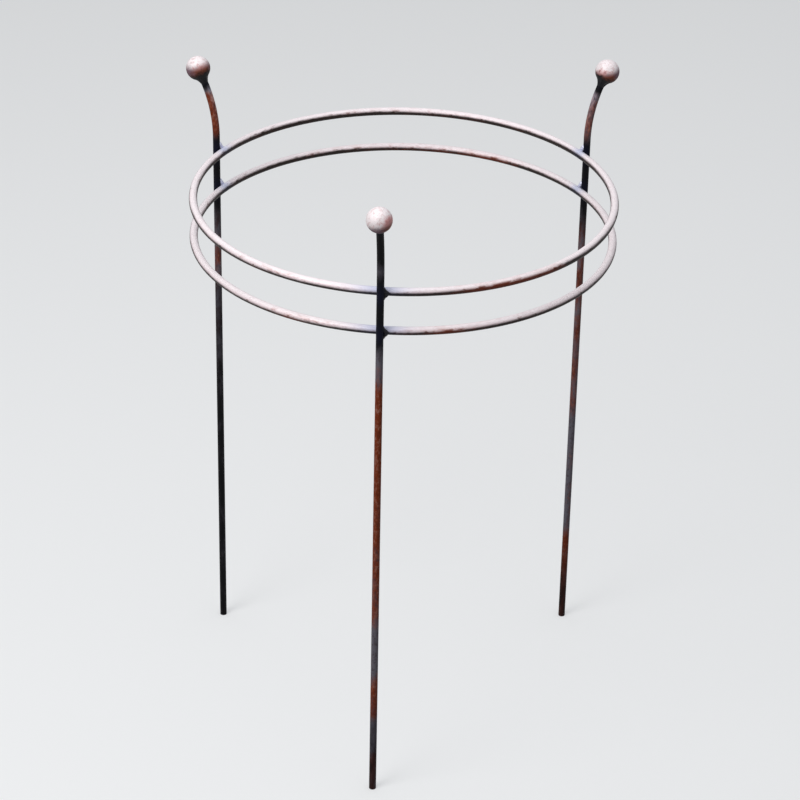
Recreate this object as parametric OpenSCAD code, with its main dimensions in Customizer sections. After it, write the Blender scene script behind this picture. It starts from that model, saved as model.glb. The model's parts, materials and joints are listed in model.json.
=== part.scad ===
// Plant support: two hoops of round bar inside three legs, with a ball on each leg's bent top.
// Millimetres. The origin is on the hoops' axis, level with the feet. +Z is up, the front is -Y.

/* [Overall] */
// Height from the feet to the top of the balls
overall_h = 800; // [600:10:1200]
// Clear width inside the rings
ring_clear_d = 400; // [250:5:600]

/* [Rings] */
// Diameter of the ring bar
ring_bar_d = 8; // [6:0.5:12]
// Distance between the two rings, centre to centre
ring_pitch = 40; // [25:1:80]
// Centre of the upper ring below the top of the balls
ring_below_top = 96.5; // [85:0.5:150]

/* [Legs] */
// Diameter of the leg bar
leg_bar_d = 7; // [5:0.5:10]
// Direction of the front leg from the rings' axis, in degrees from +X
front_bearing = 270; // [255:1:285]
// Direction of the left leg
left_bearing = 158; // [143:1:173]
// Direction of the right leg
right_bearing = 36; // [21:1:51]
// Straight length of a leg above the upper ring's centre, before its bend
top_straight = 15; // [10:1:25]
// How far the end of a leg leans outward, in degrees
bend_angle = 27.5; // [15:0.5:40]
// Edge broken off the foot of a leg
foot_chamfer = 1; // [0.4:0.1:1.6]

/* [Balls] */
// Diameter of a ball
ball_d = 24; // [18:1:36]
// Radius of the weld collar's hollow between a leg's end and its ball
collar_r = 8; // [4:0.5:12]

/* [Crossing welds] */
// Thickness of a weld bead beside the ring
bead_d = 6.4; // [5:0.1:8]
// Number of ripples in a bead on the front leg
front_bead_ripples = 5; // [3:2:9]
// Number of ripples in a bead on the left and right legs
rear_bead_ripples = 7; // [3:2:9]
// Distance between ripples, up the leg
bead_pitch = 2.2; // [1.5:0.1:2.6]
// Side of the front leg that its beads lie on: 1 is anticlockwise from above, -1 is clockwise
front_bead_side = 1; // [-1:2:1]
// Side of the left leg that its beads lie on
left_bead_side = -1; // [-1:2:1]
// Side of the right leg that its beads lie on
right_bead_side = 1; // [-1:2:1]

/* [Clearances] */
// Gap between a ring and a leg where they cross
root_gap = 0.1; // [0.05:0.05:0.5]
// Gap between weld metal and the bar or ball that it lies on
weld_gap = 0.03; // [0.02:0.01:0.1]
// Gap between a leg's end and the seat on its ball
seat_gap = 0.03; // [0.02:0.01:0.1]

/* [Hidden] */
$fn = 64;

// Bars
ring_bar_r = ring_bar_d / 2;
leg_bar_r = leg_bar_d / 2;
ball_r = ball_d / 2;

// Rings: heights and the radius of the bar's centreline
ring_r = ring_clear_d / 2 + ring_bar_r;
upper_z = overall_h - ring_below_top;
lower_z = upper_z - ring_pitch;

// Legs stand just outside the rings
leg_axis_r = ring_r + ring_bar_r + root_gap + leg_bar_r;

// A ball has a flat seat as wide as the leg's end
seat_depth = sqrt(ball_r * ball_r - leg_bar_r * leg_bar_r);
ball_reach = seat_depth + seat_gap;

// The bend starts above the upper ring and carries the ball up to the overall height
bend_z = upper_z + top_straight;
bend_rise = overall_h - ball_r - ball_reach * cos(bend_angle) - bend_z;
bend_r = bend_rise / sin(bend_angle);
tip_out = bend_r * (1 - cos(bend_angle));
tip_z = bend_z + bend_rise;

// Collar hollow: a round groove that touches both the bar and the ball
groove_r = leg_bar_r + collar_r;
groove_z = ball_reach - sqrt(pow(ball_r + collar_r, 2) - groove_r * groove_r);
collar_share = ball_r / (ball_r + collar_r);
collar_wide_r = groove_r * collar_share;
collar_top_z = ball_reach + (groove_z - ball_reach) * collar_share;

// Where a bead's ripples lie, as shares of the leg bar's radius: beside the leg's axis at the ring,
// how much nearer the leg the end ripples are, and how far all of them lie towards the ring
bead_side_share = 1.6;
bead_lean_share = 0.9;
bead_in_share = 0.7;

// How much thinner the end ripples are than the one at the ring
bead_taper_share = 0.3;

steel_pink = [0.55, 0.44, 0.45];
steel_brown = [0.33, 0.20, 0.14];
copper = [0.62, 0.43, 0.38];
weld_dark = [0.19, 0.19, 0.20];

// Shapes that repeat

// Round bar bent to a closed hoop, or what a hoop with a gap round it takes up
module hoop(z, gap = 0) {
    translate([0, 0, z])
        rotate_extrude($fn = 180)
            translate([ring_r, 0])
                circle(r = ring_bar_r + gap);
}

// Moves a shape to a leg: X points outward, and the leg's axis is Z
module at_leg(bearing) {
    rotate([0, 0, bearing])
        translate([leg_axis_r, 0, 0])
            children();
}

// Moves a shape to the end of a leg's bend: Z runs on along the bar
module at_tip() {
    translate([tip_out, 0, tip_z])
        rotate([0, bend_angle, 0])
            children();
}

// Straight bar with a broken edge at its foot and an outward bend at its top
module leg_bar() {
    cylinder(r1 = leg_bar_r - foot_chamfer, r2 = leg_bar_r, h = foot_chamfer);
    translate([0, 0, foot_chamfer])
        cylinder(r = leg_bar_r, h = bend_z - foot_chamfer);
    translate([bend_r, 0, bend_z])
        rotate([90, 0, 0])
            mirror([1, 0, 0])
                rotate_extrude(angle = bend_angle, $fn = 180)
                    translate([bend_r, 0])
                        circle(r = leg_bar_r);
}

// Ball with the flat that the leg's end stands against
module seated_ball() {
    translate([0, 0, ball_reach])
        difference() {
            sphere(r = ball_r);
            translate([0, 0, -ball_r - ball_reach])
                cylinder(r = ball_r, h = ball_r + seat_gap);
        }
}

// Flared ring of weld metal from the bar to the ball
module collar() {
    $fn = 160;
    difference() {
        translate([0, 0, groove_z])
            cylinder(r = collar_wide_r, h = collar_top_z - groove_z);
        translate([0, 0, groove_z])
            rotate_extrude()
                translate([groove_r, 0])
                    circle(r = collar_r);
        translate([0, 0, ball_reach])
            sphere(r = ball_r + weld_gap);
        translate([0, 0, groove_z - collar_r])
            cylinder(r = leg_bar_r + weld_gap, h = collar_r - groove_z + ball_reach);
    }
}

// Rippled bead in the corner between a leg and a ring; side is 1 or -1.
// Each ripple's poles lie along the ring.
module bead(bearing, z, side, ripples) {
    steps = (ripples - 1) / 2;
    half_h = steps * bead_pitch + bead_d / 2;
    difference() {
        at_leg(bearing)
            for (step = [-steps : steps])
                let (off = abs(step) / steps)
                    translate([
                        -leg_bar_r * bead_in_share,
                        side * leg_bar_r * (bead_side_share - bead_lean_share * off),
                        z + step * bead_pitch
                    ])
                        rotate([90, 0, 0])
                            sphere(d = bead_d * (1 - bead_taper_share * off));
        hoop(z, weld_gap);
        at_leg(bearing)
            translate([0, 0, z - half_h])
                cylinder(r = leg_bar_r + weld_gap, h = 2 * half_h);
    }
}

// Rings
module upper_ring() { color(steel_pink) hoop(upper_z); }
module lower_ring() { color(steel_pink) hoop(lower_z); }

// Legs
module front_leg() { color(steel_brown) at_leg(front_bearing) leg_bar(); }
module left_leg() { color(steel_brown) at_leg(left_bearing) leg_bar(); }
module right_leg() { color(steel_brown) at_leg(right_bearing) leg_bar(); }

// Balls
module front_ball() { color(copper) at_leg(front_bearing) at_tip() seated_ball(); }
module left_ball() { color(copper) at_leg(left_bearing) at_tip() seated_ball(); }
module right_ball() { color(copper) at_leg(right_bearing) at_tip() seated_ball(); }

// Weld collars under the balls
module front_collar() { color(weld_dark) at_leg(front_bearing) at_tip() collar(); }
module left_collar() { color(weld_dark) at_leg(left_bearing) at_tip() collar(); }
module right_collar() { color(weld_dark) at_leg(right_bearing) at_tip() collar(); }

// A bead on each leg, at a ring's height
module front_bead(z) { color(weld_dark) bead(front_bearing, z, front_bead_side, front_bead_ripples); }
module left_bead(z) { color(weld_dark) bead(left_bearing, z, left_bead_side, rear_bead_ripples); }
module right_bead(z) { color(weld_dark) bead(right_bearing, z, right_bead_side, rear_bead_ripples); }

// Beads at the upper ring
module front_upper_bead() { front_bead(upper_z); }
module left_upper_bead() { left_bead(upper_z); }
module right_upper_bead() { right_bead(upper_z); }

// Beads at the lower ring
module front_lower_bead() { front_bead(lower_z); }
module left_lower_bead() { left_bead(lower_z); }
module right_lower_bead() { right_bead(lower_z); }

upper_ring();
lower_ring();
front_leg();
left_leg();
right_leg();
front_ball();
left_ball();
right_ball();
front_collar();
left_collar();
right_collar();
front_upper_bead();
left_upper_bead();
right_upper_bead();
front_lower_bead();
left_lower_bead();
right_lower_bead();
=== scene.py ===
"""Plant support: two hoops of round bar welded inside three legs with balls on their bent tops.

Steel bar with a rust and heat patina under satin lacquer. Metres, +Z up, the front is -Y.
"""

import json
import math

import bpy
import numpy as np
from mathutils import Matrix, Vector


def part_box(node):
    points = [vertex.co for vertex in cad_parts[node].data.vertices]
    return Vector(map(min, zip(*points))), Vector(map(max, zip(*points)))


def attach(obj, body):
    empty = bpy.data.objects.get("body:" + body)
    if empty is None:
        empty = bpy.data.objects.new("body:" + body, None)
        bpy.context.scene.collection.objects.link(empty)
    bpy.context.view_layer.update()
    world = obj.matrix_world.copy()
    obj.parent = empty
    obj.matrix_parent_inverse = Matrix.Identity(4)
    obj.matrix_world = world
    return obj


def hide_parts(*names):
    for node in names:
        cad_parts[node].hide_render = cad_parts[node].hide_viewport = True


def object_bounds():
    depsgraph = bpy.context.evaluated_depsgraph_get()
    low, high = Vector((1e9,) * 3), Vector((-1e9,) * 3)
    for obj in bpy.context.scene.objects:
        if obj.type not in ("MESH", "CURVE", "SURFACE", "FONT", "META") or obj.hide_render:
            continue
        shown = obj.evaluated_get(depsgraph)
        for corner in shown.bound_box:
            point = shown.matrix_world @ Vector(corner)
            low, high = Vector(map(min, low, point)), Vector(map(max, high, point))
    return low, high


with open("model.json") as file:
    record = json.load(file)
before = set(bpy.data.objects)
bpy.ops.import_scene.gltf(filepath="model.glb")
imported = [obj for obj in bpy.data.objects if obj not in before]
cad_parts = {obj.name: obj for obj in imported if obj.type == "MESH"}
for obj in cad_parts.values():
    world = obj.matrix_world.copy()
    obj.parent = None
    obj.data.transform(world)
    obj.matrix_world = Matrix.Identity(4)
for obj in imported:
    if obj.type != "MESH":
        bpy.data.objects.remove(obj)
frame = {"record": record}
cad_box = [list(corner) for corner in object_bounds()]
scene = bpy.context.scene

# Sizes of the rings, the overall height and the places of the feet, taken from the frame

ring_low, ring_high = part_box("upper_ring")
RING_BAR_R = (ring_high.z - ring_low.z) / 2
RING_R = (ring_high.x - ring_low.x) / 2 - RING_BAR_R
UPPER_Z = (ring_high.z + ring_low.z) / 2
LOWER_Z = sum(corner.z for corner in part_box("lower_ring")) / 2
RING_LEVELS = {"upper": UPPER_Z, "lower": LOWER_Z}
OVERALL_H = cad_box[1][2]
FEET = {
    mount["name"].removesuffix("_foot"): np.array(mount["pos_m"])
    for mount in frame["record"]["mounts"]
    if mount["name"].endswith("_foot")
}
LEG_BEARINGS = {leg: math.atan2(foot[1], foot[0]) for leg, foot in FEET.items()}

# How deep the legs stand in the ground
GROUND_Z = 0.150

# Sizes of the legs and balls

LEG_BAR_R = 0.0035
FOOT_CHAMFER = 0.001
TOP_STRAIGHT = 0.015
BEND_ANGLE = math.radians(27.5)
BALL_R = 0.012
SEAT_GAP = 0.00003

# The seat on the ball for the leg's end, and the bend that carries the ball up to the overall height
SEAT_DEPTH = math.sqrt(BALL_R**2 - LEG_BAR_R**2)
BALL_REACH = SEAT_DEPTH + SEAT_GAP
BEND_Z = UPPER_Z + TOP_STRAIGHT
BEND_RISE = OVERALL_H - BALL_R - BALL_REACH * math.cos(BEND_ANGLE) - BEND_Z
BEND_R = BEND_RISE / math.sin(BEND_ANGLE)
TIP_OUT = BEND_R * (1 - math.cos(BEND_ANGLE))
TIP_Z = BEND_Z + BEND_RISE
LEG_LENGTH = BEND_Z + BEND_R * BEND_ANGLE

# Weld collars: the radius of the hollow, the radius where a collar closes inside the bar, and how far it
# closes past the leg's end
COLLAR_R = 0.008
COLLAR_INNER_R = 0.9 * LEG_BAR_R
COLLAR_LIP = 0.0002

# How far a collar swells at its middle, how full that swell is, and the height of the waves round it, each
# wave as (crests in a turn, share of the height)
COLLAR_SWELL = 0.000364
COLLAR_FULLNESS = 0.7
COLLAR_WAVE_H = 0.000143
COLLAR_WAVES = ((9, 1.0), (5, 0.7), (14, 0.5))

# Weld beads: the radius at the ring, the distance between ripples, and as shares of the leg bar's radius
# how far the middle lies beside the leg's axis, how much nearer the ends lean and how far all lies towards
# the ring. The taper is a share of the bead's own radius.
BEAD_R = 0.0032
BEAD_PITCH = 0.0022
BEAD_SIDE_SHARE = 1.6
BEAD_LEAN_SHARE = 0.9
BEAD_IN_SHARE = 0.7
BEAD_TAPER_SHARE = 0.3

# How square a bead's ends close, how much of that closing has rows of points, and as shares of its radius
# how tall its ripples and lumps are. The ripples slant by an angle in radians. The lumps are given as
# (lumps in a turn, twist in radians to the metre, share).
BEAD_END_POWER = 5
BEAD_ROWS_SHARE = 0.985
BEAD_RIPPLE_SHARE = 0.055
BEAD_RIPPLE_SLANT = 0.5
BEAD_LUMPS = ((2, 260.0, 0.06), (3, -420.0, 0.04))

# For each leg, the side that its beads lie on, where 1 is anticlockwise from above, and the ripples in them
# on either side of the middle one
BEAD_SIDES = {"front": 1, "left": -1, "right": 1}
BEAD_STEPS = {"front": 2, "left": 3, "right": 3}

# How much pale colour the welds get as painted glints: a collar all over, and a bead for its upward faces
# and for its leg
COLLAR_GLINT_SHARE = -0.2
BEAD_UP_GLINT_SHARE = 0.6
BEAD_GLINT_SHARES = {"front": -0.4, "left": 0.85, "right": 0.85}

# Seeds for the chance waves and lumps of the welds. They go by the leg's number and, for a bead, also by
# its ring's height in millimetres.
COLLAR_SEED = 11
BEAD_SEED_STEP = 7
MM_PER_M = 1000

# Rust along each leg, as (length from the foot in metres, share) where 1 is red-brown and 0 is grey
LEG_RUST_SHARES = {
    "front": (
        (0.0, 0.5), (0.19, 0.6), (0.20, 0.1), (0.23, 0.1), (0.24, 0.7), (0.28, 0.7), (0.295, 0.1),
        (0.335, 0.15), (0.355, 0.6), (0.41, 0.7), (0.43, 0.9), (0.45, 0.95), (0.60, 0.95), (0.62, 0.3),
        (0.66, 0.1)),
    "left": (
        (0.0, 0.3), (0.20, 0.2), (0.55, 0.25), (0.575, 0.5), (0.59, 0.5), (0.61, 0.2), (0.71, 0.2),
        (0.722, 0.8), (0.762, 0.8), (0.768, 0.1)),
    "right": (
        (0.0, 0.6), (0.25, 0.8), (0.27, 0.2), (0.40, 0.1), (0.42, 0.5), (0.62, 0.45), (0.64, 0.2),
        (0.712, 0.3), (0.724, 0.6), (0.755, 0.5), (0.768, 0.25)),
}

# Soot along each leg, as (length from the foot in metres, share) where 1 is black. Over the front leg's
# lowest 0.3 m the share is painted shade, darker towards the ground, and the other legs are also darker
# towards the foot.
LEG_SOOT_SHARES = {
    "front": (
        (0.0, 0.65), (0.17, 0.62), (0.215, 0.58), (0.24, 0.42), (0.30, 0.0), (0.62, 0.05), (0.648, 0.6),
        (0.662, 1.0), (0.712, 0.9), (0.728, 0.5), (0.748, 0.9), (0.78, 0.95)),
    "left": (
        (0.0, 0.75), (0.40, 0.75), (0.56, 0.55), (0.58, 0.25), (0.60, 0.35), (0.635, 0.55), (0.655, 0.95),
        (0.708, 1.0), (0.730, 0.25), (0.766, 0.25), (0.775, 0.9)),
    "right": (
        (0.0, 0.7), (0.19, 0.65), (0.23, 0.45), (0.26, 0.3), (0.30, 0.25), (0.36, 0.12), (0.42, 0.25),
        (0.60, 0.32), (0.645, 0.75), (0.660, 1.0), (0.706, 1.0), (0.730, 0.2), (0.764, 0.2), (0.774, 1.0)),
}

# Rust round each ring, as (degrees from +X, share)
RING_RUST_SHARES = {
    "upper": (
        (0, 0.25), (36, 0.2), (60, 0.25), (80, 0.45), (110, 0.4), (158, 0.3), (200, 0.25), (240, 0.45),
        (258, 0.2), (277, 0.2), (290, 0.65), (301, 0.95), (314, 0.7), (330, 0.3), (360, 0.25)),
    "lower": (
        (0, 0.25), (36, 0.2), (50, 0.3), (68, 0.65), (100, 0.5), (158, 0.3), (205, 0.2), (230, 0.3),
        (246, 0.65), (260, 0.2), (278, 0.5), (286, 0.9), (296, 0.5), (320, 0.2), (340, 0.25), (360, 0.25)),
}

# How much paler each ring is painted than its upward face alone gives, as (degrees from +X, share): a
# painted highlight on top and painted shade below, set for each bearing
RING_PAINTED_LIGHT_SHARES = {
    "upper": (
        (0, 0.12), (36, 0.15), (54, 0.22), (90, 0.44), (115, 0.22), (134, 0.1), (170, 0.08), (200, 0.12),
        (230, 0.54), (250, 0.66), (266, 0.56), (282, 0.42), (295, 0.3), (315, 0.16), (335, 0.1),
        (360, 0.12)),
    "lower": (
        (0, 0.28), (36, 0.25), (54, 0.32), (90, 0.5), (115, 0.26), (134, 0.12), (170, 0.12), (200, 0.2),
        (230, 0.56), (250, 0.7), (266, 0.62), (282, 0.52), (295, 0.45), (315, 0.34), (335, 0.28),
        (360, 0.28)),
}

# How far heat spreads from the welds: along the rings from each leg, and along a leg from the rings and
# from its tip
RING_HEAT_REACH = {"front": 0.024, "left": 0.009, "right": 0.009}
LEG_HEAT_REACH = 0.010
TIP_HEAT_REACH = 0.005

# Where each ball is painted pale as a highlight, darker away from it as shade, and where it is reddest, as
# directions from its middle, how much paler and redder it is than those sides alone would be, and how far
# the soot reaches up it from its foot, in radians, a reach that also paints shade over the underside
BALL_PAINTED_LIGHT_SIDES = {
    "front": (-0.15, -0.05, 1.0),
    "left": (-0.15, -0.05, 1.0),
    "right": (-0.30, -0.10, 1.05),
}
BALL_RUST_SIDES = {
    "front": (1.60, -0.70, -0.35),
    "left": (0.65, -0.70, -0.45),
    "right": (-0.30, -0.80, -1.05),
}
BALL_PAINTED_LIGHT_SHARES = {"front": 0.5, "left": -0.14, "right": 0.1}
BALL_RUST_SHARES = {"front": -0.78, "left": 0.0, "right": 0.05}
BALL_SOOT_AND_SHADE_REACH = {"front": 1.12, "left": 1.35, "right": 1.25}


# Surfaces


def unit(vector):
    """A vector, or each of a grid of vectors, divided by its length."""
    return vector / np.linalg.norm(vector, axis=-1, keepdims=True)


def at_leg(leg, local):
    """Points given as (outward, sideways, up) from a leg's foot, in the object's own frame. Outward is away
    from the rings' axis, and sideways is anticlockwise from above."""
    out = unit(FEET[leg])
    up = np.array((0.0, 0.0, 1.0))
    return FEET[leg] + local @ np.stack([out, np.cross(up, out), up])


def turned_to_tip(local):
    """Points given with Z along the end of a leg's bend, as (outward, sideways, up) from the leg's foot:
    a turn by the bend's angle about the sideways axis, then a shift to the bend's end."""
    out, side, along = np.moveaxis(local, -1, 0)
    cos = math.cos(BEND_ANGLE)
    sin = math.sin(BEND_ANGLE)
    return np.stack([TIP_OUT + out * cos + along * sin, side, TIP_Z - out * sin + along * cos], -1)


def grid_points(*parts):
    """A grid of points from arrays for their three parts. A row or a column is spread over the grid."""
    return np.stack(np.broadcast_arrays(*parts), -1)


def turn_angles(count):
    """A row of equal angles round a full turn, without the last, which is the first again."""
    return np.arange(count)[None, :] * (2 * math.pi / count)


def ring_surface(z, along=900, around=30):
    """A hoop: a circle of the bar's radius carried round a circle of the ring's radius. The distance from
    the axis is ring radius + bar radius * cos, and the height is bar radius * sin. It starts at the front,
    so that the ends of its marks meet behind the front leg."""
    bearing = turn_angles(along).T - math.pi / 2
    turn = turn_angles(around)
    reach = RING_R + RING_BAR_R * np.cos(turn)
    points = grid_points(reach * np.cos(bearing), reach * np.sin(bearing), z + RING_BAR_R * np.sin(turn))
    return points, bearing, turn


def leg_surface(first_row=0.003, rows=390, around=30):
    """A leg: a circle carried along a line that is straight as far as the bend and then an arc outward.
    On the arc the axis is at bend radius * (1 - cos) outward and bend radius * sin up, and the circle leans
    with it. At the foot the circle narrows by the chamfer, below the first of the even rows."""
    even = np.linspace(first_row, LEG_LENGTH, rows)
    length = np.concatenate([(0.0, FOOT_CHAMFER), even])[:, None]
    turn = turn_angles(around)
    lean = np.maximum(length - BEND_Z, 0) / BEND_R
    radius = LEG_BAR_R - np.maximum(FOOT_CHAMFER - length, 0)
    across = radius * np.cos(turn)
    out = BEND_R * (1 - np.cos(lean)) + across * np.cos(lean)
    up = np.minimum(length, BEND_Z) + BEND_R * np.sin(lean) - across * np.sin(lean)
    return grid_points(out, radius * np.sin(turn), up), length, turn


def ball_surface(pole=0.02, rows=72, around=96):
    """A ball: a half circle turned about the line of the leg's end, cut flat where that end stands against
    it. The distance from the line is radius * sin, and the height is -radius * cos, of an angle that starts
    a little off the pole on the leg's side."""
    polar = np.linspace(pole, math.pi - pole, rows)[:, None]
    turn = turn_angles(around)
    reach = BALL_R * np.sin(polar)
    height = np.maximum(-BALL_R * np.cos(polar), -SEAT_DEPTH)
    points = grid_points(reach * np.cos(turn), reach * np.sin(turn), BALL_REACH + height)
    return turned_to_tip(points), polar


def collar_surface(seed, outside=22, inside=6, around=84):
    """A weld collar: a hollow arc that touches the bar and the ball, turned about the leg's end and closed
    inside the bar. The arc's centre is one hollow radius off the bar, and its radius shrinks by a swell that
    is tallest at the arc's middle and has waves round it, a sum of sines of the turn."""
    groove_r = LEG_BAR_R + COLLAR_R
    groove_z = BALL_REACH - math.sqrt((BALL_R + COLLAR_R) ** 2 - groove_r**2)
    share = np.linspace(0, 1, outside)[:, None]
    sweep = share * math.atan2(BALL_REACH - groove_z, groove_r)
    turn = turn_angles(around)
    phases = np.random.default_rng(seed).uniform(0, 2 * math.pi, len(COLLAR_WAVES))
    waves = sum(tall * np.sin(crests * turn + phase) for (crests, tall), phase in zip(COLLAR_WAVES, phases))
    swell = np.sin(math.pi * share) ** COLLAR_FULLNESS * (COLLAR_SWELL + COLLAR_WAVE_H * waves)
    outer_out = groove_r - (COLLAR_R - swell) * np.cos(sweep)
    outer_up = groove_z + (COLLAR_R - swell) * np.sin(sweep)
    inner_up = np.linspace(COLLAR_LIP, groove_z, inside)[:, None]
    out = np.concatenate([outer_out, np.full((inside, around), COLLAR_INNER_R)])
    up = np.concatenate([outer_up, np.repeat(inner_up, around, axis=1)])
    return turned_to_tip(grid_points(out * np.cos(turn), out * np.sin(turn), up))


def bead_surface(z, side, steps, seed, rows=64, around=36):
    """A rippled weld bead: circles stacked up the corner between a leg and a ring, widest at the ring. The
    radius tapers towards both ends and closes there as the root of 1 - a power of the height. A cosine of
    the height swells it once for each ripple, and sines of the turn and the height give it lumps."""
    ripples_h = steps * BEAD_PITCH
    share = np.sin(np.linspace(-1, 1, rows) * math.pi / 2 * BEAD_ROWS_SHARE)[:, None]
    turn = turn_angles(around)
    height = share * (ripples_h + BEAD_R * (1 - BEAD_TAPER_SHARE))
    off = np.minimum(np.abs(height) / ripples_h, 1)
    phases = np.random.default_rng(seed).uniform(0, 2 * math.pi, len(BEAD_LUMPS))
    lumps = 1 + sum(
        tall * np.sin(count * turn + phase + twist * height)
        for (count, twist, tall), phase in zip(BEAD_LUMPS, phases))
    slant = BEAD_RIPPLE_SLANT * np.sin(turn)
    ripple = 1 + BEAD_RIPPLE_SHARE * np.cos(height * (2 * math.pi / BEAD_PITCH) + slant)
    close = np.sqrt(np.maximum(1 - np.abs(share) ** BEAD_END_POWER, 0))
    radius = BEAD_R * (1 - BEAD_TAPER_SHARE * off) * close * ripple * lumps
    middle = LEG_BAR_R * (BEAD_SIDE_SHARE - BEAD_LEAN_SHARE * off)
    out = radius * np.cos(turn) - LEG_BAR_R * BEAD_IN_SHARE
    return grid_points(out, side * (middle + radius * np.sin(turn)), z + height)


def upward(points):
    """How far each point of a grid faces up: the height part of its unit normal, which is the cross product
    of the differences between its neighbours round the columns and along the rows."""
    around = np.roll(points, -1, 1) - np.roll(points, 1, 1)
    normal = unit(np.cross(around, np.gradient(points, axis=0)))
    outward = points - points.mean(1, keepdims=True)
    return normal[..., 2] * np.sign((normal * outward).sum())


# Faces


def grid_faces(rows, cols, wrap):
    """Four-sided faces of a grid whose columns run round. If wrap is true, its rows join end to end."""
    row = np.arange(rows if wrap else rows - 1)[:, None]
    col = np.arange(cols)[None, :]
    here = row * cols
    onward = (row + 1) % rows * cols
    beside = (col + 1) % cols
    return np.stack([here + col, here + beside, onward + beside, onward + col], -1).reshape(-1, 4)


def end_fans(rows, cols):
    """Triangles from each end row of a grid to a middle point, which follow the grid's own points."""
    col = np.arange(cols)
    beside = (col + 1) % cols
    count = rows * cols
    first = np.stack([np.full(cols, count), beside, col], -1)
    last = np.stack([np.full(cols, count + 1), count - cols + col, count - cols + beside], -1)
    return np.concatenate([first, last])


def with_middles(values):
    """A grid's values in one list, with the mean of the first and of the last row after them."""
    ends = np.stack([values[0].mean(0), values[-1].mean(0)])
    return np.concatenate([values.reshape(-1, *values.shape[2:]), ends])


def signed_volume(points, quads):
    """Volume inside the quads, negative where they face inwards: a sixth of each half's triple product."""
    a, b, c, d = np.moveaxis(points[quads], 1, 0)
    return (np.einsum("ij,ij", a, np.cross(b, c)) + np.einsum("ij,ij", a, np.cross(c, d))) / 6


# Shader arithmetic

# Sockets of a Mix node that are for colours
MIX_SHARE = 0
MIX_FIRST = 6
MIX_SECOND = 7
MIX_RESULT = 2

# How rough the noise in the patina is, and the lacquer over it
MARK_ROUGHNESS = 0.6
LACQUER_ROUGHNESS = 0.28


class Value:
    """One value in a material. Arithmetic on it adds Math nodes."""

    def __init__(self, finish, socket):
        self.finish = finish
        self.socket = socket

    def maths(self, operation, *values, clamp=False):
        """The outcome of a Math node."""
        settings = {"operation": operation, "use_clamp": clamp}
        return self.finish.node("ShaderNodeMath", settings, dict(enumerate(values)))

    def __add__(self, other):
        return self.maths("ADD", self, other)

    def __radd__(self, other):
        return self.maths("ADD", other, self)

    def __sub__(self, other):
        return self.maths("SUBTRACT", self, other)

    def __rsub__(self, other):
        return self.maths("SUBTRACT", other, self)

    def __mul__(self, other):
        return self.maths("MULTIPLY", self, other)

    def __rmul__(self, other):
        return self.maths("MULTIPLY", other, self)

    def held(self):
        """The value kept between 0 and 1."""
        return self.maths("ADD", self, 0.0, clamp=True)

    def between(self, low, high):
        """0 at low, 1 at high, with a smooth rise."""
        inputs = {"Value": self, "From Min": low, "From Max": high}
        return self.finish.node("ShaderNodeMapRange", {"interpolation_type": "SMOOTHSTEP"}, inputs)


class Finish:
    """The nodes of a material or of the world."""

    def __init__(self, owner):
        owner.use_nodes = True
        self.owner = owner
        self.tree = owner.node_tree
        self.tree.nodes.clear()

    def node(self, kind, settings=None, inputs=None, output=0):
        """A new node, with its settings and then the values or links of its sockets. Gives one output."""
        made = self.tree.nodes.new(kind)
        for key, setting in (settings or {}).items():
            setattr(made, key, setting)
        for key, value in (inputs or {}).items():
            if isinstance(value, Value):
                self.tree.links.new(value.socket, made.inputs[key])
            else:
                made.inputs[key].default_value = value
        return Value(self, made.outputs[output]) if made.outputs else None

    def field(self, name):
        """A number stored on the piece's points."""
        return self.node("ShaderNodeAttribute", {"attribute_name": name}, output="Fac")

    def marks(self, place, along, across, detail):
        """Uneven marks, 0.5 on average: noise over a place stored on the piece's points, with so many marks
        to the metre along the place's first axis and across it."""
        stored = self.node("ShaderNodeAttribute", {"attribute_name": place}, output="Vector")
        per_metre = (along, across, across)
        spread = self.node("ShaderNodeVectorMath", {"operation": "MULTIPLY"}, {0: stored, 1: per_metre})
        inputs = {"Vector": spread, "Scale": 1.0, "Detail": detail, "Roughness": MARK_ROUGHNESS}
        return self.node("ShaderNodeTexNoise", {"noise_dimensions": "3D"}, inputs)

    def blend(self, share, first, second):
        """A colour between two colours. The share is kept between 0 and 1."""
        inputs = {MIX_SHARE: share, MIX_FIRST: first, MIX_SECOND: second}
        return self.node("ShaderNodeMix", {"data_type": "RGBA"}, inputs, MIX_RESULT)

    def seen(self):
        """1 for the camera, reflections and light through clear things, and 0 for scattered light."""
        rays = ("Is Camera Ray", "Is Glossy Ray", "Is Transmission Ray")
        straight, glossy, through = [self.node("ShaderNodeLightPath", output=ray) for ray in rays]
        return (straight + glossy + through).held()

    def lacquered(self, colour, roughness, shine, height, specular, bump, depth):
        """Patina under lacquer, with metal and a clear coat where it shines, and a bump from the height."""
        normal = self.node("ShaderNodeBump", {}, {"Strength": bump, "Distance": depth, "Height": height})
        shader = self.node("ShaderNodeBsdfPrincipled", {}, {
            "Base Color": colour, "Roughness": roughness, "Metallic": shine, "Normal": normal,
            "Specular IOR Level": specular, "Coat Weight": shine, "Coat Roughness": LACQUER_ROUGHNESS})
        self.node("ShaderNodeOutputMaterial", {}, {"Surface": shader})
        return self.owner


def srgb(*levels):
    """A linear colour from display levels out of 255, by the sRGB curve."""
    share = np.array(levels) / 255
    linear = np.where(share <= 0.04045, share / 12.92, ((share + 0.055) / 1.055) ** 2.4)
    return (*linear.tolist(), 1.0)


# Finishes

# The pale ring steel and its rose, the pale rust, the pale grey steel and leg rust, the pale ball and its
# rose rust, the pale heat and the pale weld colour are lit copies, painted where light falls as highlights
# and glints. The brown ring steel is also darkened as painted shade.
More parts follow.
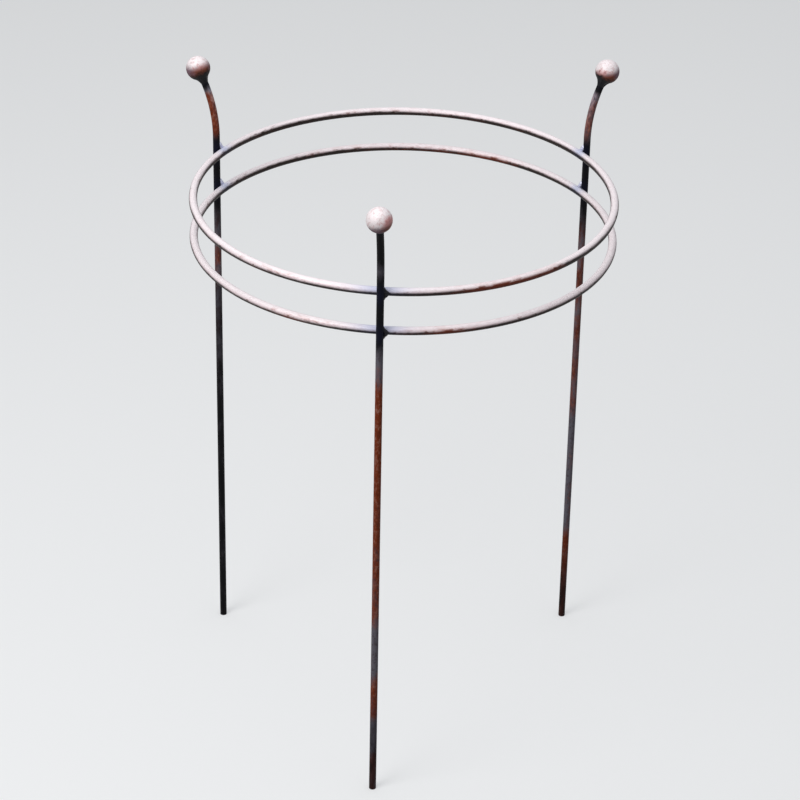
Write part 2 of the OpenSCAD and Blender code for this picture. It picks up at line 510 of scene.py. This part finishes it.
BROWN_AND_SHADED_STEEL = srgb(42, 33, 30)
PAINTED_HIGHLIGHT_STEEL = srgb(244, 234, 237)
PAINTED_FALLOFF_ROSE = srgb(224, 190, 197)
MAUVE_STEEL = srgb(190, 158, 166)
GREY_STEEL = srgb(110, 107, 117)
PAINTED_LIT_GREY_STEEL = srgb(172, 168, 184)
RUST = srgb(110, 50, 33)
RUST_SPECK = srgb(164, 92, 58)
PAINTED_LIT_RUST = srgb(178, 118, 104)
LEG_RUST = srgb(126, 54, 29)
SANDY_LEG_RUST = srgb(168, 124, 110)
PAINTED_LIT_LEG_RUST = srgb(200, 158, 152)
DARK_LEG_BROWN = srgb(56, 34, 30)
DULL_BALL = srgb(122, 94, 106)
PAINTED_HIGHLIGHT_BALL = srgb(246, 236, 238)
PINK_BALL = srgb(188, 138, 138)
BALL_RUST = srgb(128, 70, 52)
PAINTED_LIT_BALL_RUST = srgb(206, 124, 122)
PAINTED_LIT_HEAT = srgb(188, 194, 220)
HEAT_BLUE = srgb(20, 22, 40)
SOOT = srgb(14, 14, 16)
WELD_SCALE = srgb(15, 15, 20)
PAINTED_WELD_GLINT = srgb(212, 214, 233)


def ring_finish():
    """Pinkish steel painted pale on top as a highlight, with a rose painted falloff on the sides and brown
    below, darkened as painted shade, with patches of red rust and a grey-blue heat bloom at the welds."""
    f = Finish(bpy.data.materials.new("ring_bar_patina"))
    patches = f.marks("bar_place", along=34.0, across=120.0, detail=4.0)
    blots = f.marks("bar_place", along=100.0, across=240.0, detail=3.0)
    mottle = f.marks("bar_place", along=230.0, across=460.0, detail=3.0)
    grain = f.marks("bar_place", along=900.0, across=1500.0, detail=2.0)
    rust = f.field("rust")
    heat = f.field("heated")
    # The sides between the top and the underside are painted rose, and more mauve, as a falloff from the
    # painted highlight
    painted_falloff_flank = 1 - f.field("crown").between(0.3, 0.85)
    red = (patches * 0.9 + mottle * 0.35 + rust * 0.75).between(0.88, 1.28)
    blot = (blots + rust * 0.2).between(0.62, 0.78)
    uneven = (mottle - 0.5) * 0.3 + (patches - 0.5) * 0.4
    # Painted light: pale on the bar's top as a highlight and brown below as shade, with uneven edges and
    # blots
    patches_and_painted_light = (f.field("lift") + uneven - blot * 0.2).between(0.32, 0.9)
    dull = f.blend(red, BROWN_AND_SHADED_STEEL, RUST)
    bright = f.blend(painted_falloff_flank * 0.32, PAINTED_HIGHLIGHT_STEEL, PAINTED_FALLOFF_ROSE)
    bright = f.blend(mottle.between(0.5, 0.66) * (0.12 + painted_falloff_flank * 0.3), bright, MAUVE_STEEL)
    bright = f.blend((red * 0.3 + blot * 0.5) * (0.25 + painted_falloff_flank * 0.75), bright, PAINTED_LIT_RUST)
    colour = f.blend(patches_and_painted_light, dull, bright)
    # The heat bloom is painted pale on the lit top and dark blue below, as lit and shaded copies
    colour = f.blend(heat * patches_and_painted_light * 0.85, colour, PAINTED_LIT_HEAT)
    colour = f.blend(heat * (1 - patches_and_painted_light) * 0.95, colour, HEAT_BLUE)
    colour = f.blend(grain.between(0.62, 0.74) * (1 - heat) * 0.14, colour, RUST_SPECK)
    rough = 0.36 + mottle * 0.14 + grain * 0.08
    height = mottle * 0.6 + grain * 0.5
    return f.lacquered(colour, rough, patches_and_painted_light * 0.12, height, specular=0.14, bump=0.22, depth=0.0004)


def leg_finish():
    """Red-brown and grey stretches of patina along the bar, black with soot and blue with heat at the welds,
    with pale patches, a painted sheen on the bend's upward faces and painted shade near the front leg's
    foot."""
    f = Finish(bpy.data.materials.new("leg_bar_patina"))
    patches = f.marks("bar_place", along=46.0, across=150.0, detail=4.0)
    mottle = f.marks("bar_place", along=230.0, across=420.0, detail=3.0)
    grain = f.marks("bar_place", along=900.0, across=1500.0, detail=2.0)
    red = (f.field("rust") + (patches - 0.5) * 1.3 + (mottle - 0.5) * 0.7).between(0.12, 0.88)
    # Painted sheen: paler on the bend's upward faces; on the straight stretches the noise alone gives pale
    # patches
    patches_and_painted_light = (f.field("lift") + (mottle - 0.5) * 0.7 + (patches - 0.5) * 0.4).between(0.08, 0.5)
    # Soot at the welds; near the foot, on the front leg, painted shade that darkens towards the ground
    black = (f.field("soot") + (patches - 0.5) * 0.6 + (mottle - 0.5) * 0.3).between(0.2, 0.8)
    bright = f.blend(red, PAINTED_LIT_GREY_STEEL, PAINTED_LIT_LEG_RUST)
    colour = f.blend(red, GREY_STEEL, LEG_RUST)
    colour = f.blend(mottle.between(0.5, 0.66) * red * 0.5, colour, SANDY_LEG_RUST)
    colour = f.blend(mottle.between(0.5, 0.34) * 0.5, colour, DARK_LEG_BROWN)
    colour = f.blend(patches_and_painted_light * 0.85, colour, bright)
    colour = f.blend(grain.between(0.58, 0.72) * red * 0.6, colour, RUST_SPECK)
    colour = f.blend(black, colour, SOOT)
    colour = f.blend(f.field("heated") * 0.8, colour, HEAT_BLUE)
    rough = 0.44 + mottle * 0.16 + grain * 0.06
    height = mottle * 0.6 + grain * 0.5
    return f.lacquered(colour, rough, 0.0, height, specular=0.07, bump=0.35, depth=0.0004)


def ball_finish():
    """Copper-brown ball painted pale pink on top as a highlight and darker below as shade, with red rust
    stains and a black foot at the weld, whose soot also paints shade over the underside.
    """
    f = Finish(bpy.data.materials.new("ball_skin_patina"))
    patches = f.marks("ball_place", along=70.0, across=70.0, detail=4.0)
    mottle = f.marks("ball_place", along=300.0, across=300.0, detail=3.0)
    grain = f.marks("ball_place", along=1100.0, across=1100.0, detail=2.0)
    red = (f.field("rust") + (patches - 0.5) * 1.2 + mottle - 0.5).between(0.12, 0.9)
    # Painted light: pale on the side towards the light as a highlight, darker away from it as shade
    patches_and_painted_light = (f.field("lift") + (mottle - 0.5) * 0.6 + (patches - 0.5) * 0.4).between(-0.08, 0.58)
    # Soot at the foot, reaching far enough up to paint shade over the underside
    black = (f.field("heated") + (mottle - 0.5) * 0.6 + (patches - 0.5) * 0.3).between(0.25, 0.62)
    dull = f.blend(red, DULL_BALL, BALL_RUST)
    bright = f.blend(red * 0.8, PAINTED_HIGHLIGHT_BALL, PAINTED_LIT_BALL_RUST)
    bright = f.blend(mottle.between(0.5, 0.64) * (0.35 + red * 0.4), bright, PINK_BALL)
    colour = f.blend(patches_and_painted_light, dull, bright)
    colour = f.blend(grain.between(0.58, 0.72) * 0.35, colour, RUST)
    colour = f.blend(black, colour, SOOT)
    rough = 0.48 + mottle * 0.16 + black * 0.1
    shine = patches_and_painted_light * (1 - black) * 0.12
    height = mottle * 0.8 + grain * 0.4
    return f.lacquered(colour, rough, shine, height, specular=0.2, bump=0.4, depth=0.0005)


def weld_finish():
    """Weld metal: blue-black scale, with a pale colour painted on the beads' upward ripples as glints."""
    f = Finish(bpy.data.materials.new("weld_scale"))
    mottle = f.marks("weld_place", along=420.0, across=420.0, detail=3.0)
    grain = f.marks("weld_place", along=1500.0, across=1500.0, detail=2.0)
    # Painted glints: the pale colour on a bead's upward faces stands for highlights
    bare = (f.field("bare") + (mottle - 0.5) * 0.7).between(0.2, 0.7)
    colour = f.blend(bare, WELD_SCALE, PAINTED_WELD_GLINT)
    rough = 0.36 + mottle * 0.2
    height = mottle + grain * 0.4
    return f.lacquered(colour, rough, bare * 0.4, height, specular=0.16, bump=0.5, depth=0.0006)


FINISHES = {
    "ring_patina": ring_finish(),
    "leg_patina": leg_finish(),
    "ball_patina": ball_finish(),
    "weld_metal": weld_finish(),
}


# Pieces


def in_scene(name, data):
    """A new object in the scene."""
    made = bpy.data.objects.new(name, data)
    scene.collection.objects.link(made)
    return made


def make_piece(name, node, slot, points, wrap=False, **fields):
    """A smooth mesh piece from a grid of points, with its values per point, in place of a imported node."""
    rows, cols = points.shape[:2]
    quads = grid_faces(rows, cols, wrap)
    fans = np.zeros((0, 3), int) if wrap else end_fans(rows, cols)
    listed = points.reshape(-1, 3) if wrap else with_middles(points)
    if signed_volume(listed, quads) < 0:
        quads = quads[:, ::-1]
        fans = fans[:, ::-1]
    mesh = bpy.data.meshes.new(name)
    mesh.from_pydata(listed.tolist(), [], quads.tolist() + fans.tolist())
    mesh.polygons.foreach_set("use_smooth", np.arange(len(mesh.polygons)) < len(quads))
    for field, values in fields.items():
        values = np.broadcast_to(values, (rows, cols, *np.shape(values)[2:]))
        values = values.reshape(-1, *values.shape[2:]) if wrap else with_middles(values)
        vector = values.ndim == 2
        layer = mesh.attributes.new(field, "FLOAT_VECTOR" if vector else "FLOAT", "POINT")
        layer.data.foreach_set("vector" if vector else "value", values.astype(np.float32).ravel())
    mesh.materials.append(FINISHES[slot])
    mesh.update()
    piece = in_scene(name, mesh)
    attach(piece, "root")
    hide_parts(node)


def bar_place(along, radius, turn):
    """A bar's points as if it were straight: the length along it, then its section's two axes."""
    return grid_points(along, radius * np.cos(turn), radius * np.sin(turn))


def nearness(distance, reach):
    """1 at a weld, falling off on a bell curve of the given reach."""
    return np.exp(-((distance / reach) ** 2))


def along_table(places, table):
    """Values between the entries of a table of (place, share)."""
    at, shares = np.array(table).T
    return np.interp(places, at, shares)


def make_ring(level, z):
    """A ring with rust, a painted highlight and shade, and heat round it. Its height moves its marks, so
    that the rings differ.
    """
    points, bearing, turn = ring_surface(z)
    degrees = np.degrees(bearing) % 360
    welds = [
        nearness(np.angle(np.exp(1j * (bearing - LEG_BEARINGS[leg]))) * RING_R, reach)
        for leg, reach in RING_HEAT_REACH.items()
    ]
    make_piece(
        f"{level}_ring_bar", f"{level}_ring", "ring_patina", points, wrap=True,
        bar_place=bar_place(bearing * RING_R + z, RING_BAR_R, turn),
        heated=np.max(welds, axis=0),
        rust=along_table(degrees, RING_RUST_SHARES[level]),
        crown=np.sin(turn),
        lift=np.sin(turn) + along_table(degrees, RING_PAINTED_LIGHT_SHARES[level]))


def make_leg(leg, shift):
    """A leg's bar with rust, soot and heat along it, and a painted sheen on its upward faces. The shift
    moves its marks, so that the legs differ.
    """
    points, length, turn = leg_surface()
    welds = [nearness(length - z, LEG_HEAT_REACH) for z in RING_LEVELS.values()]
    welds.append(nearness(length - LEG_LENGTH, TIP_HEAT_REACH))
    make_piece(
        f"{leg}_leg_bar", f"{leg}_leg", "leg_patina", at_leg(leg, points),
        bar_place=bar_place(length + shift, LEG_BAR_R, turn),
        heated=np.max(welds, axis=0),
        rust=along_table(length, LEG_RUST_SHARES[leg]),
        soot=along_table(length, LEG_SOOT_SHARES[leg]),
        lift=upward(points))


def make_ball(leg, shift):
    """A leg's ball painted pale on one side as a highlight and darker on the other as shade, with a rusty
    side and a sooty foot. The shift moves its marks.
    """
    local, polar = ball_surface()
    points = at_leg(leg, local)
    from_middle = points - at_leg(leg, turned_to_tip(np.array((0.0, 0.0, BALL_REACH))))
    make_piece(
        f"{leg}_ball_round", f"{leg}_ball", "ball_patina", points,
        ball_place=from_middle + shift,
        heated=nearness(polar, BALL_SOOT_AND_SHADE_REACH[leg]),
        rust=from_middle @ np.array(BALL_RUST_SIDES[leg]) / BALL_R + BALL_RUST_SHARES[leg],
        lift=from_middle @ np.array(BALL_PAINTED_LIGHT_SIDES[leg]) / BALL_R + BALL_PAINTED_LIGHT_SHARES[leg])


def make_collar(leg, seed):
    """The weld collar between a leg's end and its ball, dark with scale."""
    points = at_leg(leg, collar_surface(seed))
    make_piece(
        f"{leg}_collar_weld", f"{leg}_collar", "weld_metal", points, wrap=True,
        weld_place=points,
        bare=np.full((1, 1), COLLAR_GLINT_SHARE))


def make_bead(leg, level, z, seed):
    """The weld bead where a leg crosses a ring, with glints painted on its upward faces."""
    points = at_leg(leg, bead_surface(z, BEAD_SIDES[leg], BEAD_STEPS[leg], seed))
    make_piece(
        f"{leg}_{level}_weld", f"{leg}_{level}_bead", "weld_metal", points,
        weld_place=points,
        bare=upward(points) * BEAD_UP_GLINT_SHARE + BEAD_GLINT_SHARES[leg])


for level, ring_z in RING_LEVELS.items():
    make_ring(level, ring_z)

for number, leg in enumerate(FEET):
    make_leg(leg, shift=number)
    make_ball(leg, shift=number)
    make_collar(leg, seed=number + COLLAR_SEED)
    for level, ring_z in RING_LEVELS.items():
        make_bead(leg, level, ring_z, seed=number * BEAD_SEED_STEP + int(ring_z * MM_PER_M))


# Floor

# Half its width, its own glow, the paint that takes the shadow, and the paint that scattered light meets
FLOOR_HALF = 9.0
FLOOR_GLOW = (0.90, 0.91, 0.92, 1.0)
FLOOR_GLOW_STRENGTH = 0.45
FLOOR_PAINT = (0.47, 0.475, 0.48, 1.0)
FLOOR_BOUNCE = (0.11, 0.11, 0.10, 1.0)


def floor_finish():
    """Pale floor: part of its brightness is its own, so that it stays even, and its paint takes the shadow.
    To scattered light it is dim, so that it sends little back to the underside of the object."""
    f = Finish(bpy.data.materials.new("floor"))
    glow = f.node("ShaderNodeEmission", {}, {"Color": FLOOR_GLOW, "Strength": FLOOR_GLOW_STRENGTH})
    paint = f.node("ShaderNodeBsdfDiffuse", {}, {"Color": FLOOR_PAINT})
    pale = f.node("ShaderNodeAddShader", {}, {0: glow, 1: paint})
    dim = f.node("ShaderNodeBsdfDiffuse", {}, {"Color": FLOOR_BOUNCE})
    mixed = f.node("ShaderNodeMixShader", {}, {0: f.seen(), 1: dim, 2: pale})
    f.node("ShaderNodeOutputMaterial", {}, {"Surface": mixed})
    return f.owner


corners = np.array(((-1, -1), (1, -1), (1, 1), (-1, 1))) * FLOOR_HALF
floor_points = np.column_stack([corners, np.full(len(corners), GROUND_Z)])
floor_mesh = bpy.data.meshes.new("floor")
floor_mesh.from_pydata(floor_points.tolist(), [], [(0, 1, 2, 3)])
floor_mesh.materials.append(floor_finish())
floor = in_scene("floor", floor_mesh)


# Light

# The sky's colour, and its strength as the camera and reflections see it and as it lights the object
SKY_COLOUR = (0.93, 0.96, 1.0, 1.0)
SKY_SEEN = 0.80
SKY_LIGHT = 0.22


def placed(name, data, right, up, back, place):
    """A new object in the scene at a place, with its own axes turned to the given ones."""
    made = in_scene(name, data)
    made.matrix_world = Matrix([*np.column_stack([right, up, back, place]).tolist(), (0, 0, 0, 1)])
    return made


def soft_lamp(name, place, aim, size, power, colour):
    """A square lamp that faces a point."""
    lamp = bpy.data.lights.new(name, "AREA")
    lamp.shape = "SQUARE"
    lamp.size = size
    lamp.energy = power
    lamp.color = colour
    back = unit(np.array(place) - np.array(aim))
    right = unit(np.cross((0.0, 1.0, 0.0), back))
    placed(name, lamp, right, np.cross(back, right), back, place)


soft_lamp(
    "overhead", place=(0.0, -0.10, 2.85), aim=(0.0, 0.0, 0.65), size=4.0, power=48.0,
    colour=(0.98, 0.99, 1.0))
soft_lamp(
    "front_left", place=(-1.25, -1.45, 2.15), aim=(0.0, 0.0, 0.60), size=1.4, power=32.0,
    colour=(1.0, 0.985, 0.97))

sky = Finish(bpy.data.worlds.new("studio"))
sky_strength = sky.seen() * (SKY_SEEN - SKY_LIGHT) + SKY_LIGHT
sky_light = sky.node("ShaderNodeBackground", {}, {"Color": SKY_COLOUR, "Strength": sky_strength})
sky.node("ShaderNodeOutputWorld", {}, {"Surface": sky_light})
scene.world = sky.owner


# Camera

# The photograph's viewing angle, with the eye at a distance from the rings' middle and moved to the right
# and up from there
VIEW_AZIMUTH = math.radians(5.30)
VIEW_ELEVATION = math.radians(29.32)
VIEW_ROLL = math.radians(1.155)
VIEW_DISTANCE = 2.788
VIEW_RIGHT = -0.0035
VIEW_UP = -0.1805

# Lens and sensor, in millimetres
VIEW_LENS = 129.0
VIEW_SENSOR = 36.0

view_back = np.array((
    math.sin(VIEW_AZIMUTH) * math.cos(VIEW_ELEVATION),
    -math.cos(VIEW_AZIMUTH) * math.cos(VIEW_ELEVATION),
    math.sin(VIEW_ELEVATION)))
level_right = unit(np.cross(-view_back, (0.0, 0.0, 1.0)))
level_up = np.cross(view_back, level_right)
view_right = math.cos(VIEW_ROLL) * level_right + math.sin(VIEW_ROLL) * level_up
view_up = math.cos(VIEW_ROLL) * level_up - math.sin(VIEW_ROLL) * level_right
rings_middle = np.array((0.0, 0.0, (UPPER_Z + LOWER_Z) / 2))
eye = rings_middle + view_back * VIEW_DISTANCE + view_right * VIEW_RIGHT + view_up * VIEW_UP

lens = bpy.data.cameras.new("photo_view")
lens.lens = VIEW_LENS
lens.sensor_width = VIEW_SENSOR
scene.camera = placed("photo_view", lens, view_right, view_up, view_back, eye)
scene.view_settings.view_transform = "Standard"
